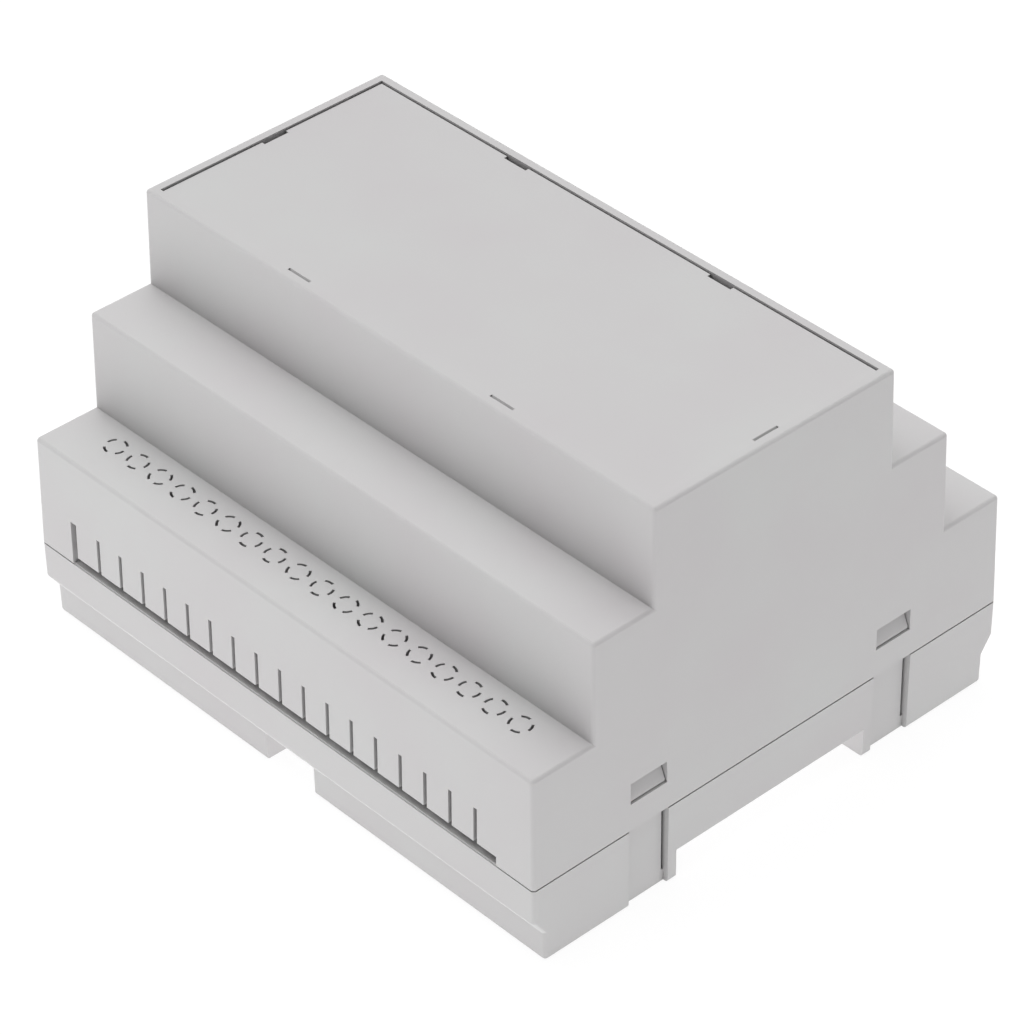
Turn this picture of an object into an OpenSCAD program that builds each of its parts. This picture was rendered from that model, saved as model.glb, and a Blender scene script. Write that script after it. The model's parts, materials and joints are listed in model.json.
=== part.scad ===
// Modular enclosure for a 35 mm top-hat rail: a stepped two-shell housing that snaps
// together, with a front panel, terminal break-outs and a sliding rail latch.
// +X runs along the rail, +Z points away from it, and z = 0 is the underside of the feet.

/* [Housing] */
// Rail modules that the housing takes up
modules = 6; // [4:1:9]
// Width of one rail module
module_w = 17.5; // [17.3:0.1:17.7]
// Depth across the rail, over both terminal sides
body_w = 90; // [88:1:96]
// Height from the feet to the rim round the front panel
body_h = 65; // [60:1:72]
// Wall thickness of both shells
wall = 2; // [1.8:0.1:2.2]
// Radius on the outer edges
edge_r = 0.6; // [0.4:0.1:0.8]

/* [Steps] */
// Height of the seam between the base and the cover
seam_z = 13.8; // [13:0.2:15]
// Height of the terminal shelf
low_shelf_z = 32.5; // [30:0.5:36]
// Height of the middle shelf
mid_shelf_z = 49; // [46:0.5:54]
// Depth of the middle block at its shelf
mid_w = 67; // [62:1:72]
// Depth of the front block at its rim
nose_w = 44.8; // [44:0.1:45]
// Draft of the cover walls in degrees
draft = 0.9; // [0.5:0.1:1.2]

/* [Terminals] */
// Distance from one terminal to the next
pitch = 5; // [5:0.01:5.08]
// Diameter of a knock-out, to the middle of its slots
knockout_d = 3.3; // [3:0.1:3.6]
// Distance of the knock-outs from the middle of the housing
knockout_y = 37.75; // [37:0.25:39]
// Height of a break-out tab
tab_h = 5.9; // [4:0.1:8]
// Width of the slots between the tabs
tab_slot = 0.7; // [0.6:0.1:1]

/* [Front panel] */
// Thickness of the front panel
panel_t = 2; // [1.6:0.1:2.4]
// How far the panel lies below the rim
panel_drop = 0.35; // [0.2:0.05:0.6]
// Gap between the panel and the rim
panel_gap = 0.2; // [0.15:0.05:0.3]

/* [Rail] */
// Width of the rail channel between the feet
channel_w = 36.8; // [36.2:0.2:38]
// Height of the feet below the rail seat
rail_seat_z = 5; // [4.8:0.1:5.2]
// Depth of the feet across the rail
foot_w = 86; // [84:0.5:87]

/* [Hidden] */

shell_grey = [0.80, 0.80, 0.79];
latch_grey = [0.74, 0.74, 0.73];

body_l = modules * module_w;
past = 1;                 // how far a cutter runs past the face it opens
edge_facets = 16;
edge_inset = edge_r * cos(180 / edge_facets);

// Cover
skirt = 5;                // the blocks run this far below the seam before they are cut off
rim_t = 1.6;              // rim round the front panel
ledge_t = 1.4;            // ledge that the panel lies on
ledge_w = 2;
panel_seat_z = body_h - panel_drop - panel_t;
recess_l = 2 * (end_x(body_h) - rim_t);
recess_w = nose_w - 2 * rim_t + 0.1;

// Panel hooks: two on each long side and one on each short side
hook_w = 4.5;
hook_x = 20.6;
hook_t = 1.1;
notch_d = 0.6;
hook_nose = 0.55;
hook_h = 2.4;
hook_play = 0.1;

// Terminal sides
terminals = floor((body_l - 15) / pitch);
terminal_x0 = -(terminals - 1) * pitch / 2;
comb_l = terminals * pitch + 0.4;
comb_gap = 1.55;          // free gap between the tabs and the base
comb_shift = 1.1;         // the slots stand this far off the middle between two knock-outs
comb_lead = 1.25;         // width of the first slot
knockout_slot = 0.4;
knockout_arc = 48;
knockout_web = 0.9;
knockout_trench = 5;
tab_t = 1.2;
// Turn of each knock-out's core pin, as the pins stand in the mould
pin_turns = [70, 15, 40, 65, 15, 40, 0, 0, 30, 10, 55, 60, 40, 30, 70, 85, 80, 20];

// Snap arms of the base and their windows in the cover, two at each end
snap_y = 23.7;
snap_w = 6.5;
snap_t = 1.6;
snap_slit = 0.45;
snap_recess = 1;          // the arm lies this far behind the end face of the base
snap_step = 0.45;         // and steps in this much more behind the cover
window_w = 6.8;
window_z = 18.3;
window_h = 3.6;
window_wall = 1.2;        // cover wall left in front of the arm
snap_play = 0.15;

// Base
base_draft = 0.5;
chamfer_z = 7.7;
foot_z = 4.9;
chamfer_rise = 0.6;       // the chamfer lies this much higher on the inside
floor_t = 2;
floor_z = rail_seat_z + floor_t;
seam_line_h = 0.25;       // shadow line round the top edge of the base
seam_line_d = 0.2;
tongue_t = 1.25;
tongue_h = 1.4;
tongue_play = 0.2;

// Circuit board bosses
boss_d = 6;
boss_h = 5;
boss_hole_d = 2.2;
boss_hole_depth = 5.4;
boss_web = [1.2, 9.2, 1.5];
boss_x = body_l / 2 - 9.5;
boss_y = 14;
guide_t = 1;
guide_gap = 1.8;
guide_d = 2.2;
guide_y = 9;

// Fixed rail hooks
rail_hook_l = 14;
rail_hook_x = 24;
rail_w = 35;
rail_flange = 1;
rail_play = 0.15;
rail_grip = 1.8;

// Latch and its slide in the rear foot
latch_travel = 3;
latch_w = 9.9;
latch_wing_w = 12.3;
waist_w = 6;
latch_play = 0.15;
latch_lip_z = 2.1;        // top of the lips that carry the latch's wings
latch_roof_z = 4.8;
latch_nose_y = rail_w / 2 - 1.6;
latch_end_y = foot_w / 2 - 0.5;
guide_end_y = 23.8;       // the inner guide runs from the channel to here
pocket_end_y = 38.8;
pocket_w = 21.2;          // pocket for the spring arms, narrower at its outer end
pocket_end_w = 18.8;
spring_l = 11;
pocket_end_play = 0.4;
spring_t = 1.1;
notch_w = 10.4;

// ---------- outlines ----------

function low_y(z) = body_w / 2 - (z - seam_z) * tan(draft);
function mid_y(z) = mid_w / 2 + (mid_shelf_z - z) * tan(draft);
function nose_y(z) = nose_w / 2 + (body_h - z) * tan(draft);
function end_x(z) = body_l / 2 - (z - seam_z) * tan(draft);
function base_lean(z) = (seam_z - z) * tan(base_draft);

function mirrored(points) = [for (k = [len(points) - 1:-1:0]) [-points[k].x, points[k].y]];
function both_sides(points) = concat(points, mirrored(points));

// Half of the stepped section, i inside the outer faces and t below the top
function cover_half(i, t) = [
    [low_y(seam_z - skirt) - i, seam_z - skirt],
    [low_y(low_shelf_z - i) - i, low_shelf_z - i],
    [mid_y(low_shelf_z - i) - i, low_shelf_z - i],
    [mid_y(mid_shelf_z - i) - i, mid_shelf_z - i],
    [nose_y(mid_shelf_z - i) - i, mid_shelf_z - i],
    [nose_y(body_h - t) - i, body_h - t]
];

// Half of the section of the base's upper block, with its chamfer carried on into the foot
chamfer_slope = (body_w / 2 - base_lean(chamfer_z) - foot_w / 2) / (chamfer_z - foot_z);
tub_half = [
    [body_w / 2, seam_z + skirt],
    [body_w / 2, seam_z],
    [body_w / 2 - base_lean(chamfer_z), chamfer_z],
    [foot_w / 2 - foot_z / 2 * chamfer_slope, foot_z / 2]
];

// Half of the section of the block that the feet are cut from
foot_half = [
    [foot_w / 2 + base_lean(0) / 2, chamfer_z],
    [foot_w / 2 - base_lean(0) / 2, 0]
];

module along_x(length) {
    rotate([90, 0, 90])
        linear_extrude(length, center = true)
            children();
}

module along_y(length) {
    rotate([90, 0, 0])
        linear_extrude(length, center = true)
            children();
}

module block(low, high) {
    translate(low)
        cube(high - low);
}

// Box that is centred on x = 0 and y = 0
module mid_block(length, width, z0, z1) {
    block([-length / 2, -width / 2, z0], [length / 2, width / 2, z1]);
}

module both_ends() {
    children();
    rotate([0, 0, 180])
        children();
}

module four_corners() {
    for (flip_x = [0, 1], flip_y = [0, 1])
        mirror([flip_x, 0, 0])
            mirror([0, flip_y, 0])
                children();
}

// ---------- cover ----------

module cover_block(i, t) {
    intersection() {
        along_x(body_l + 2 * past)
            polygon(both_sides(cover_half(i, t)));
        along_y(body_w + 2 * past)
            polygon(both_sides([
                [end_x(seam_z - skirt) - i, seam_z - skirt - past],
                [end_x(body_h) - i, body_h + past]
            ]));
    }
}

module cover_skin() {
    intersection() {
        minkowski() {
            cover_block(edge_inset, edge_inset);
            sphere(edge_r, $fn = edge_facets);
        }
        mid_block(body_l + 2 * past, body_w + 2 * past, seam_z, body_h + past);
    }
}

// Four arc slots that leave a round knock-out on four thin bridges
module knockout(turn) {
    slot_r = knockout_d / 2 - knockout_slot / 2;
    for (quarter = [0:90:270])
        rotate([0, 0, turn + quarter - knockout_arc / 2])
            rotate_extrude(angle = knockout_arc, $fn = 48)
                translate([slot_r, 0])
                    square([knockout_slot, knockout_web + 2 * past]);
}

// Row of knock-outs in the terminal shelf, thinned from inside
module knockout_row() {
    for (k = [0:terminals - 1])
        translate([terminal_x0 + k * pitch, -knockout_y, low_shelf_z - knockout_web - past])
            knockout(pin_turns[k % len(pin_turns)]);
    translate([0, -knockout_y, 0])
        mid_block(comb_l, knockout_trench, low_shelf_z - wall - past, low_shelf_z - knockout_web);
}

// Break-out tabs in the front wall: free at their lower ends, slotted between, thin
module tab_row() {
    face_y = -low_y(seam_z + comb_gap);
    tab_top = seam_z + comb_gap + tab_h;
    first_x = -comb_l / 2;
    block([first_x, -body_w / 2 - past, seam_z - past],
          [comb_l / 2, -body_w / 2 + wall + past, seam_z + comb_gap]);
    block([first_x, face_y + tab_t, seam_z],
          [comb_l / 2, -body_w / 2 + wall + past, tab_top]);
    block([first_x, -body_w / 2 - past, seam_z],
          [first_x + comb_lead, -body_w / 2 + wall + past, tab_top]);
    for (k = [1:terminals - 1])
        translate([terminal_x0 + (k - 0.5) * pitch + comb_shift, 0, 0])
            block([-tab_slot / 2, -body_w / 2 - past, seam_z],
                  [tab_slot / 2, -body_w / 2 + wall + past, tab_top]);
}

// Window for one snap nose, with a channel for the arm behind the wall
module snap_window() {
    translate([0, snap_y, 0]) {
        block([body_l / 2 - wall - past, -window_w / 2, window_z],
              [body_l / 2 + past, window_w / 2, window_z + window_h]);
        block([body_l / 2 - wall - past, -snap_w / 2 - 3 * snap_play, seam_z - past],
              [body_l / 2 - window_wall, snap_w / 2 + 3 * snap_play, window_z + window_h + 0.6]);
    }
}

// Places one panel hook, drawn pointing along +Y from the panel's edge
module at_panel_hooks(edge_x, edge_y) {
    for (sx = [-1, 1])
        both_ends()
            translate([sx * hook_x, edge_y, 0])
                children();
    both_ends()
        rotate([0, 0, -90])
            translate([0, edge_x, 0])
                children();
}

// Room for a hook: a slot through the ledge and a catch pocket below what is left of it
module hook_room() {
    slot_w = hook_w + 0.5;
    block([-slot_w / 2, -notch_d - hook_t - 3 * hook_play, panel_seat_z - ledge_t - past],
          [slot_w / 2, -notch_d + hook_play, panel_seat_z + past]);
    block([-slot_w / 2, -ledge_w - 1, panel_seat_z - ledge_t - hook_h - 0.4],
          [slot_w / 2, 0, panel_seat_z - ledge_t]);
}

// Pair of upright ribs that hold the edge of a circuit board
module board_guide() {
    for (s = [-1, 1])
        translate([0, guide_y + s * (guide_gap + guide_t) / 2, 0])
            block([end_x(mid_shelf_z) - wall - guide_d, -guide_t / 2, seam_z + 4],
                  [end_x(mid_shelf_z) - wall / 2, guide_t / 2, mid_shelf_z]);
}

module cover() {
    color(shell_grey) {
        difference() {
            cover_skin();
            cover_block(wall, body_h - panel_seat_z + ledge_t);
            mid_block(recess_l, recess_w, panel_seat_z, body_h + past);
            mid_block(recess_l - 2 * ledge_w, recess_w - 2 * ledge_w,
                      panel_seat_z - ledge_t - past, body_h);
            at_panel_hooks(recess_l / 2 - panel_gap, recess_w / 2 - panel_gap)
                hook_room();
            four_corners()
                snap_window();
            both_ends() {
                knockout_row();
                tab_row();
            }
        }
        four_corners()
            board_guide();
    }
}

// ---------- front panel ----------

// Arm, nose and lead-in of one panel hook, seen from its side
module panel_hook() {
    catch_z = panel_seat_z - ledge_t - hook_play;
    tip_z = catch_z - hook_h;
    translate([0, -notch_d, 0])
        rotate([90, 0, 90])
            linear_extrude(hook_w - 0.3, center = true)
                polygon([
                    [-hook_t, panel_seat_z + 0.4],
                    [-hook_t, tip_z],
                    [-hook_t / 3, tip_z],
                    [hook_nose, catch_z - 0.5],
                    [hook_nose, catch_z],
                    [0, catch_z],
                    [0, panel_seat_z + 0.4]
                ]);
}

module front_panel() {
    panel_l = recess_l - 2 * panel_gap;
    panel_w = recess_w - 2 * panel_gap;
    color(shell_grey) {
        difference() {
            mid_block(panel_l, panel_w, panel_seat_z, panel_seat_z + panel_t);
            at_panel_hooks(panel_l / 2, panel_w / 2)
                block([-hook_w / 2, -notch_d, panel_seat_z - past],
                      [hook_w / 2, past, panel_seat_z + panel_t + past]);
        }
        at_panel_hooks(panel_l / 2, panel_w / 2)
            panel_hook();
    }
}

// ---------- base ----------

// Shallow step round the top edge, which shows as a line below the cover
module seam_line() {
    core_l = body_l - 2 * seam_line_d;
    core_w = body_w - 2 * seam_line_d;
    corner_r = edge_r - seam_line_d / 2;
    z0 = seam_z - seam_line_h - past;
    z1 = seam_z + 2 * past;
    difference() {
        mid_block(body_l + 2 * past, body_w + 2 * past, seam_z - seam_line_h, seam_z + past);
        mid_block(core_l - 2 * corner_r, core_w, z0, z1);
        mid_block(core_l, core_w - 2 * corner_r, z0, z1);
        four_corners()
            translate([core_l / 2 - corner_r, core_w / 2 - corner_r, z0])
                cylinder(z1 - z0, r = corner_r, $fn = 48);
    }
}

// Block of one section between the end walls, with all its edges rounded
module rounded_block(half) {
    minkowski() {
        intersection() {
            along_x(body_l + 2 * past)
                offset(delta = -edge_inset)
                    polygon(both_sides(half));
            along_y(body_w + 2 * past)
                polygon(both_sides([
                    [body_l / 2 - edge_inset - base_lean(-past), -past],
                    [body_l / 2 - edge_inset - base_lean(seam_z + skirt + past), seam_z + skirt + past]
                ]));
        }
        sphere(edge_r, $fn = edge_facets);
    }
}

module base_skin() {
    difference() {
        union() {
            rounded_block(tub_half);
            rounded_block(foot_half);
        }
        mid_block(body_l + 4 * past, body_w + 4 * past, seam_z, seam_z + 2 * skirt);
        mid_block(body_l + 4 * past, channel_w, -past, rail_seat_z);
    }
}

// Inner face of the front wall, which follows the foot and the chamfer outside it
function hollow_y(z) = lookup(z, [
    [0, foot_w / 2 - wall - base_lean(0)],
    [foot_z + chamfer_rise, foot_w / 2 - wall],
    [chamfer_z + chamfer_rise, body_w / 2 - wall - base_lean(chamfer_z)],
    [seam_z, body_w / 2 - wall]
]);

// Half of the inside above height z0
function hollow_half(z0) = concat(
    [[hollow_y(z0), z0]],
    [for (z = [foot_z, chamfer_z]) if (z + chamfer_rise > z0)
        [hollow_y(z + chamfer_rise), z + chamfer_rise]],
    [[hollow_y(seam_z), seam_z + past]]
);

// Hollow of one foot, from x0 to x1, open to the inside of the housing
module foot_hollow(x0, x1) {
    translate([(x0 + x1) / 2, 0, 0])
        along_x(x1 - x0)
            polygon(concat(
                [[channel_w / 2 + wall, seam_z + past], [channel_w / 2 + wall, floor_t]],
                hollow_half(floor_t)
            ));
}

// Recess in the end face with a slit on each side of the arm
module snap_opening() {
    opening_w = snap_w + 2 * snap_slit;
    translate([0, snap_y, 0]) {
        block([body_l / 2 - snap_recess, -opening_w / 2, -past],
              [body_l / 2 + past, opening_w / 2, seam_z + past]);
        block([body_l / 2 - wall - past, -opening_w / 2, floor_t],
              [body_l / 2 + past, opening_w / 2, seam_z + past]);
    }
}

// Springy arm that rises behind the cover wall, with its nose in the window
module snap_arm() {
    face_x = body_l / 2 - snap_recess;
    back_x = face_x - snap_step;
    nose_x = end_x(window_z) - 0.35;
    nose_z = window_z + snap_play;
    top_z = window_z + window_h - 0.4;
    translate([0, snap_y, 0])
        along_y(snap_w)
            polygon([
                [face_x, floor_t / 2],
                [face_x, seam_z - 0.8],
                [back_x, seam_z - 0.2],
                [back_x, nose_z],
                [nose_x, nose_z],
                [nose_x, nose_z + 0.4],
                [back_x, top_z],
                [back_x - 0.5, top_z + 0.3],
                [back_x - snap_t, top_z + 0.3],
                [back_x - snap_t, floor_t / 2]
            ]);
}

// Tongue that stands inside the cover wall and keeps the seam in line
module tongues() {
    tongue_l = body_l - 2 * wall - 6;
    outer_y = body_w / 2 - wall - tongue_play;
    both_ends()
        translate([0, outer_y - tongue_t / 2, 0])
            mid_block(tongue_l, tongue_t, chamfer_z + 1, seam_z + tongue_h);
    both_ends()
        translate([0, outer_y, 0])
            mid_block(tongue_l, 2 * tongue_play + 0.1, chamfer_z + 1, seam_z - 0.5);
}

module board_boss() {
    translate([boss_x, boss_y, floor_z - floor_t / 2])
        cylinder(boss_h + floor_t / 2, d = boss_d, $fn = 48);
    translate([boss_x, boss_y, 0])
        mid_block(boss_web.x, boss_web.y, floor_z - floor_t / 2, floor_z + boss_web.z);
}

module board_hole() {
    translate([boss_x, boss_y, floor_z + boss_h - boss_hole_depth])
        cylinder(boss_hole_depth + past, d = boss_hole_d, $fn = 48);
}

// One fixed hook on the front side of the rail channel: stop pad and lip
module rail_hook() {
    lip_z = rail_seat_z - rail_flange - rail_play;
    stop_y = -rail_w / 2 - rail_play;
    tip_y = stop_y + rail_grip;
    along_x(rail_hook_l)
        polygon([
            [-channel_w / 2 - wall / 2, 0.6],
            [stop_y + 0.2, 0.6],
            [tip_y, lip_z - 1],
            [tip_y, lip_z],
            [stop_y, lip_z],
            [stop_y, floor_z - floor_t / 2],
            [-channel_w / 2 - wall / 2, floor_z - floor_t / 2]
        ]);
}

// Window in the floor above the lip, where the mould's core stands
module rail_hook_core() {
    stop_y = -rail_w / 2 - rail_play;
    block([-rail_hook_l / 2 - 0.1, stop_y, rail_seat_z - past],
          [rail_hook_l / 2 + 0.1, stop_y + rail_grip + 0.2, floor_z + past]);
}

// Way for the latch through the rear foot: slot, wing grooves and a spring pocket that
// narrows outwards
module latch_way() {
    inner_y = channel_w / 2 - past;
    groove_w = latch_wing_w + 2 * latch_play;
    block([-notch_w / 2, inner_y, -past],
          [notch_w / 2, foot_w / 2 + past, latch_roof_z]);
    block([-groove_w / 2, inner_y, latch_lip_z],
          [groove_w / 2, pocket_end_y, latch_roof_z]);
    translate([0, 0, -past])
        linear_extrude(latch_roof_z + past)
            polygon(both_sides([
                [pocket_w / 2, guide_end_y],
                [pocket_end_w / 2, pocket_end_y]
            ]));
}

module base() {
    hollow_x = body_l / 2 - wall;
    notch_bridge = notch_w / 2 + wall;
    latch_bridge = pocket_w / 2 + wall;
    color(shell_grey) {
        difference() {
            union() {
                difference() {
                    base_skin();
                    seam_line();
                    along_x(2 * hollow_x)
                        polygon(both_sides(hollow_half(floor_z)));
                    for (side = [0, 1]) {
                        bridge = side == 0 ? latch_bridge : notch_bridge;
                        mirror([0, side, 0]) {
                            foot_hollow(bridge, hollow_x);
                            foot_hollow(-hollow_x, -bridge);
                        }
                    }
                    four_corners()
                        snap_opening();
                }
                four_corners()
                    snap_arm();
                four_corners()
                    board_boss();
                tongues();
                for (s = [-1, 1])
                    translate([s * rail_hook_x, 0, 0])
                        rail_hook();
            }
            four_corners()
                board_hole();
            for (s = [-1, 1])
                translate([s * rail_hook_x, 0, 0])
                    rail_hook_core();
            block([-notch_w / 2, -foot_w / 2 - past, -past],
                  [notch_w / 2, -channel_w / 2 + past, foot_z]);
            latch_way();
        }
    }
}

// ---------- rail latch ----------

// One-piece latch: nose, wings in the base's grooves, two spring arms and a pull end
module rail_latch() {
    plate_z = latch_lip_z + latch_play;
    top_z = latch_roof_z - latch_play;
    nose_z = rail_seat_z - rail_flange - rail_play;
    step_y = rail_w / 2 + 1.4;
    color(latch_grey) {
        difference() {
            union() {
                // nose with its lead-in ramp, under the rail's flange
                along_x(latch_w)
                    polygon([
                        [latch_nose_y, nose_z],
                        [latch_nose_y, nose_z - 0.8],
                        [latch_nose_y + 2.6, 0.4],
                        [latch_end_y, 0.4],
                        [latch_end_y, top_z],
                        [step_y, top_z],
                        [step_y, nose_z]
                    ]);
                block([-latch_wing_w / 2, step_y, plate_z],
                      [latch_wing_w / 2, guide_end_y, top_z]);
                for (s = [0, 1])
                    mirror([s, 0, 0])
                        spring_arm(plate_z, top_z);
            }
            // waist between the spring arms
            for (s = [0, 1])
                mirror([s, 0, 0])
                    block([waist_w / 2, guide_end_y + 1.4, -past],
                          [latch_w / 2 + latch_play, pocket_end_y - latch_travel - 1, latch_roof_z]);
            // slot for a screwdriver
            block([-waist_w / 2, latch_end_y - 3.4, -past],
                  [waist_w / 2, latch_end_y - 1.8, latch_roof_z]);
        }
    }
}

module spring_arm(z0, z1) {
    root_x = latch_wing_w / 2;
    tip_x = (pocket_end_w - pocket_end_play) / 2;
    tip_y = guide_end_y + spring_l;
    translate([0, 0, z0])
        linear_extrude(z1 - z0)
            polygon([
                [root_x - spring_t, guide_end_y - spring_t],
                [root_x, guide_end_y - spring_t],
                [root_x, guide_end_y],
                [tip_x, tip_y],
                [tip_x - spring_t / 2, tip_y + spring_t / 2],
                [tip_x - spring_t, tip_y]
            ]);
}

base();
cover();
front_panel();
rail_latch();
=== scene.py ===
import json
from math import pi

import bpy
from mathutils import Matrix, Vector


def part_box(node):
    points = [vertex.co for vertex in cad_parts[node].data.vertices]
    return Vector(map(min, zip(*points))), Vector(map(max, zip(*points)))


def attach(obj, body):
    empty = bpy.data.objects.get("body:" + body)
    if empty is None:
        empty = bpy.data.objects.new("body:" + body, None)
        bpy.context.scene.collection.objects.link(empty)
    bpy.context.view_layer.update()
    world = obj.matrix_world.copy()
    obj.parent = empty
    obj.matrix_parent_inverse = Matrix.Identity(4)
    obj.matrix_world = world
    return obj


MM = 0.001
WHITE = (1, 1, 1, 1)

# Camera: where it stands, and its own axes as directions in the frame
CAMERA_AT = Vector((383.59, -347.67, 419.64)) * MM
CAMERA_RIGHT = Vector((0.67913, 0.73392, -0.01188))
CAMERA_DOWN = Vector((0.43979, -0.41981, -0.79394))
CAMERA_FORWARD = Vector((-0.58768, 0.53397, -0.60788))
SENSOR = 36.0
LENS = 158.75
CLIP_START = 10.0 * MM

# Plastic: its colours, linear, and its index of refraction
SHELL_GREY = (0.604, 0.597, 0.600)
LATCH_GREY = (0.52, 0.515, 0.515)
PLASTIC_IOR = 1.5

# Flow: how the colour drifts from a little darker and redder to a little lighter and greener,
# between two levels of a slow noise
FLOW_DRIFT = ((0.992, 0.974, 0.982), (1.012, 1.022, 1.014))
FLOW_LEVELS = (0.3, 0.7)
FLOW_SCALE = 45.0
FLOW_DETAIL = 3.0
FLOW_ROUGHNESS = 0.5

# Grain: the fine noise of the mould's surface, the gloss it leaves and how far it stands out
GRAIN_SCALE = 2600.0
GRAIN_DETAIL = 2.0
GRAIN_ROUGHNESS = 0.6
SURFACE_ROUGHNESS = (0.5, 0.66)
BUMP_STRENGTH = 0.25
BUMP_HEIGHT = 0.04 * MM

# Gaps, painted shade: how far the plastic looks for a wall opposite, the open shares of its view
# between which its colour is darkened as painted shade, and the factor on its colour where it is
# shut in
GAP_REACH = 4.0 * MM
GAP_SAMPLES = 6
GAP_SHUT = 0.1
GAP_OPEN = 0.4
GAP_SHADE = 0.2

# Sky: brightest along its axis, falling off with a power of the cosine from it
SKY_AXIS = Vector((-0.22, 0.0, 1.0)).normalized()
SKY_POWER = 5.0
SKY_STRENGTH = 3.42

# Table: its size in metres, its white and its glow as the object gets them, and its brightness
# as the camera sees it, of which a shadow can take the last part
FLOOR_RADIUS = 6.0
FLOOR_CORNERS = 96
FLOOR_WHITE = 0.5
GLOW_ALONG_X = (-20.0 * MM, 160.0 * MM)
GLOW = (1.2, 0.95)
FLOOR_SEEN = 1.05
SHADOW_DEPTH = 0.15

# Notch bevels: width, depth and height of the sloping face over each hook of the front panel,
# the depth of the panel's notches, and how far along it the hooks sit
BEVEL_W = 4.4 * MM
BEVEL_D = 0.55 * MM
BEVEL_H = 0.9 * MM
NOTCH_D = 0.6 * MM
HOOK_X = 20.6 * MM

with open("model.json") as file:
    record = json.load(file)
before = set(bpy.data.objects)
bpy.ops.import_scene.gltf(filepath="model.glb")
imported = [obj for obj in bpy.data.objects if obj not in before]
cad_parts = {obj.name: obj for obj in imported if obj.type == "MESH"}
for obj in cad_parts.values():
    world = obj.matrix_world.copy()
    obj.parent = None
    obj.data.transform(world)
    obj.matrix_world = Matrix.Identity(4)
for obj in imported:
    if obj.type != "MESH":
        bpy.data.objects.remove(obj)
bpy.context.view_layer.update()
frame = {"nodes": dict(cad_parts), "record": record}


class Nodes:
    """The node tree of a material or of the world, empty at first."""

    def __init__(self, owner):
        owner.use_nodes = True
        self.tree = owner.node_tree
        self.tree.nodes.clear()

    def give(self, socket, value):
        """Link an input to a node's output, or set it to a value."""
        if isinstance(value, bpy.types.NodeSocket):
            self.tree.links.new(value, socket)
        else:
            socket.default_value = value

    def add(self, kind, *values, **settings):
        """Add a node. Plain values fill its inputs in order, named ones an input or a setting."""
        node = self.tree.nodes.new(kind)
        for name, value in settings.items():
            if name in node.inputs:
                self.give(node.inputs[name], value)
            else:
                setattr(node, name, value)
        for socket, value in zip(node.inputs, values):
            self.give(socket, value)
        return node

    def map_range(self, value, given, wanted):
        """Stretch a value from one range to another and hold it at the ends."""
        ends = dict(zip(("From Min", "From Max", "To Min", "To Max"), (*given, *wanted)))
        return self.add("ShaderNodeMapRange", value, **ends).outputs["Result"]

    def noise(self, place, scale, detail, roughness):
        node = self.add("ShaderNodeTexNoise", place, Scale=scale, Detail=detail, Roughness=roughness)
        return node.outputs["Fac"]


def flowed_colour(nodes, place, colour):
    """Colour that drifts slowly over the part, as plastic shows where it flowed."""
    flow = nodes.noise(place, FLOW_SCALE, FLOW_DETAIL, FLOW_ROUGHNESS)
    tint = nodes.add("ShaderNodeValToRGB", flow)
    for element, level, drift in zip(tint.color_ramp.elements, FLOW_LEVELS, FLOW_DRIFT):
        element.position = level
        element.color = (*[c * d for c, d in zip(colour, drift)], 1)
    return tint.outputs["Color"]


def painted_shade_in_gaps(nodes, colour):
    """Painted shade: the colour, darkened where other surfaces close in on it, in slots and narrow
    gaps.
    """
    view = nodes.add("ShaderNodeAmbientOcclusion", Distance=GAP_REACH, samples=GAP_SAMPLES)
    factor = nodes.map_range(view.outputs["AO"], (GAP_SHUT, GAP_OPEN), (GAP_SHADE, 1.0))
    shaded = nodes.add("ShaderNodeVectorMath", colour, operation="SCALE", Scale=factor)
    return shaded.outputs["Vector"]


def moulded_plastic(name, colour):
    """Light matte plastic with the fine spark-eroded texture of its mould, and painted shade in its
    slots and narrow gaps.
    """
    material = bpy.data.materials.new(name)
    nodes = Nodes(material)
    place = nodes.add("ShaderNodeTexCoord").outputs["Object"]
    grain = nodes.noise(place, GRAIN_SCALE, GRAIN_DETAIL, GRAIN_ROUGHNESS)
    bump = nodes.add("ShaderNodeBump", Strength=BUMP_STRENGTH, Distance=BUMP_HEIGHT, Height=grain)
    shader = nodes.add(
        "ShaderNodeBsdfPrincipled",
        # painted shade: the base colour is darkened in slots and narrow gaps
        painted_shade_in_gaps(nodes, flowed_colour(nodes, place, colour)),
        Roughness=nodes.map_range(grain, (0.0, 1.0), SURFACE_ROUGHNESS),
        IOR=PLASTIC_IOR,
        Normal=bump.outputs["Normal"],
    )
    nodes.add("ShaderNodeOutputMaterial", shader.outputs["BSDF"])
    return material


def dress(node, material):
    """Give every slot of a node the same material."""
    for slot in node.material_slots:
        slot.material = material


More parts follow.
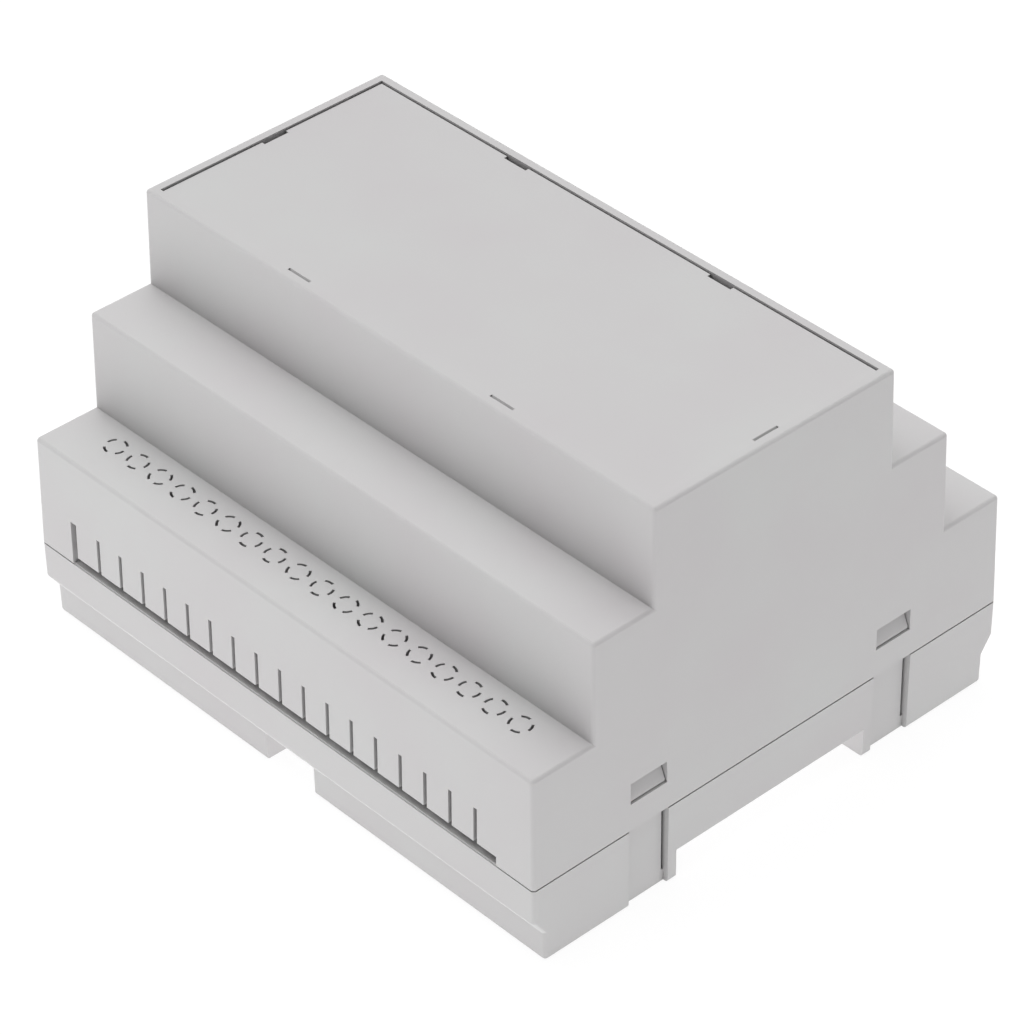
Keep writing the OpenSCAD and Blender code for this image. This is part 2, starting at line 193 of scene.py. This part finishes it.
def add_notch_bevels(material):
    """Sloping faces in the panel's notches, one over each hook."""
    low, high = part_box("front_panel")
    half_l = (high.x - low.x) / 2
    half_w = (high.y - low.y) / 2
    hooks = []
    for side in (0, pi):
        hooks.append((side - pi / 2, 0.0, half_l))
        for along in (-HOOK_X, HOOK_X):
            hooks.append((side, along, half_w))
    profile = ((-NOTCH_D, 0.0), (-NOTCH_D, -BEVEL_H), (BEVEL_D - NOTCH_D, -BEVEL_H))
    corners = len(profile)
    points = []
    faces = []
    for turn, along, out in hooks:
        placed = Matrix.Rotation(turn, 4, "Z") @ Matrix.Translation((along, out, high.z))
        near = range(len(points), len(points) + corners)
        far = range(near.stop, near.stop + corners)
        for end in (-BEVEL_W / 2, BEVEL_W / 2):
            for across, up in profile:
                points.append(placed @ Vector((end, across, up)))
        faces.append(tuple(near))
        faces.append(tuple(reversed(far)))
        for k in range(corners):
            after = (k + 1) % corners
            faces.append((near[k], far[k], far[after], near[after]))
    mesh = bpy.data.meshes.new("notch_bevels")
    mesh.from_pydata(points, [], faces)
    mesh.materials.append(material)
    piece = bpy.data.objects.new("notch_bevels", mesh)
    bpy.context.scene.collection.objects.link(piece)
    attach(piece, "housing")


def seen_directly(nodes):
    """1 for rays from the camera, a mirror or glass, and 0 for light that falls on the object."""
    path = nodes.add("ShaderNodeLightPath")
    seen = path.outputs["Is Camera Ray"]
    for kind in ("Is Glossy Ray", "Is Transmission Ray"):
        seen = nodes.add("ShaderNodeMath", seen, path.outputs[kind], operation="MAXIMUM").outputs[0]
    return seen


def glowing_sheet(nodes, white, glow):
    """Diffuse white that also gives off light of its own."""
    diffuse = nodes.add("ShaderNodeBsdfDiffuse", Color=(white, white, white, 1))
    emission = nodes.add("ShaderNodeEmission", Color=WHITE, Strength=glow)
    return nodes.add("ShaderNodeAddShader", diffuse.outputs[0], emission.outputs[0]).outputs[0]


def add_floor():
    """White table, lit through from below."""
    bpy.ops.mesh.primitive_circle_add(
        vertices=FLOOR_CORNERS, radius=FLOOR_RADIUS, fill_type="NGON"
    )
    floor = bpy.context.object
    floor.name = "floor"
    material = bpy.data.materials.new("floor_white")
    nodes = Nodes(material)
    place = nodes.add("ShaderNodeTexCoord").outputs["Object"]
    across = nodes.add("ShaderNodeSeparateXYZ", place).outputs["X"]
    lighting = glowing_sheet(nodes, FLOOR_WHITE, nodes.map_range(across, GLOW_ALONG_X, GLOW))
    looked_at = glowing_sheet(nodes, SHADOW_DEPTH, FLOOR_SEEN - SHADOW_DEPTH)
    mix = nodes.add("ShaderNodeMixShader", seen_directly(nodes), lighting, looked_at)
    nodes.add("ShaderNodeOutputMaterial", mix.outputs[0])
    floor.data.materials.append(material)


def add_world():
    """Soft light from overhead that falls off towards the horizon, before a white room."""
    world = bpy.data.worlds.new("studio")
    bpy.context.scene.world = world
    nodes = Nodes(world)
    way = nodes.add("ShaderNodeTexCoord").outputs["Generated"]
    cosine = nodes.add("ShaderNodeVectorMath", way, SKY_AXIS, operation="DOT_PRODUCT")
    above = nodes.add("ShaderNodeMath", cosine.outputs["Value"], 0.0, operation="MAXIMUM")
    lobe = nodes.add("ShaderNodeMath", above.outputs[0], SKY_POWER, operation="POWER")
    sky = nodes.add("ShaderNodeMath", lobe.outputs[0], SKY_STRENGTH, operation="MULTIPLY")
    soft = nodes.add("ShaderNodeBackground", Color=WHITE, Strength=sky.outputs[0])
    room = nodes.add("ShaderNodeBackground", Color=WHITE, Strength=1.0)
    mix = nodes.add("ShaderNodeMixShader", seen_directly(nodes), soft.outputs[0], room.outputs[0])
    nodes.add("ShaderNodeOutputWorld", mix.outputs[0])


def add_camera():
    """The photo's camera."""
    data = bpy.data.cameras.new("camera")
    data.sensor_width = SENSOR
    data.lens = LENS
    data.clip_start = CLIP_START
    camera = bpy.data.objects.new("camera", data)
    bpy.context.scene.collection.objects.link(camera)
    turn = Matrix((CAMERA_RIGHT, -CAMERA_DOWN, -CAMERA_FORWARD)).transposed()
    camera.matrix_world = Matrix.Translation(CAMERA_AT) @ turn.to_4x4()
    bpy.context.scene.camera = camera


plastic = {
    "shell": moulded_plastic("shell_plastic", SHELL_GREY),
    "panel": moulded_plastic("panel_plastic", SHELL_GREY),
    "latch": moulded_plastic("latch_plastic", LATCH_GREY),
}
for part in frame["record"]["subparts"]:
    dress(frame["nodes"][part["node"]], plastic[part["material_slot"]])
add_notch_bevels(plastic["panel"])

add_floor()
add_world()
add_camera()
bpy.context.scene.view_settings.view_transform = "Standard"
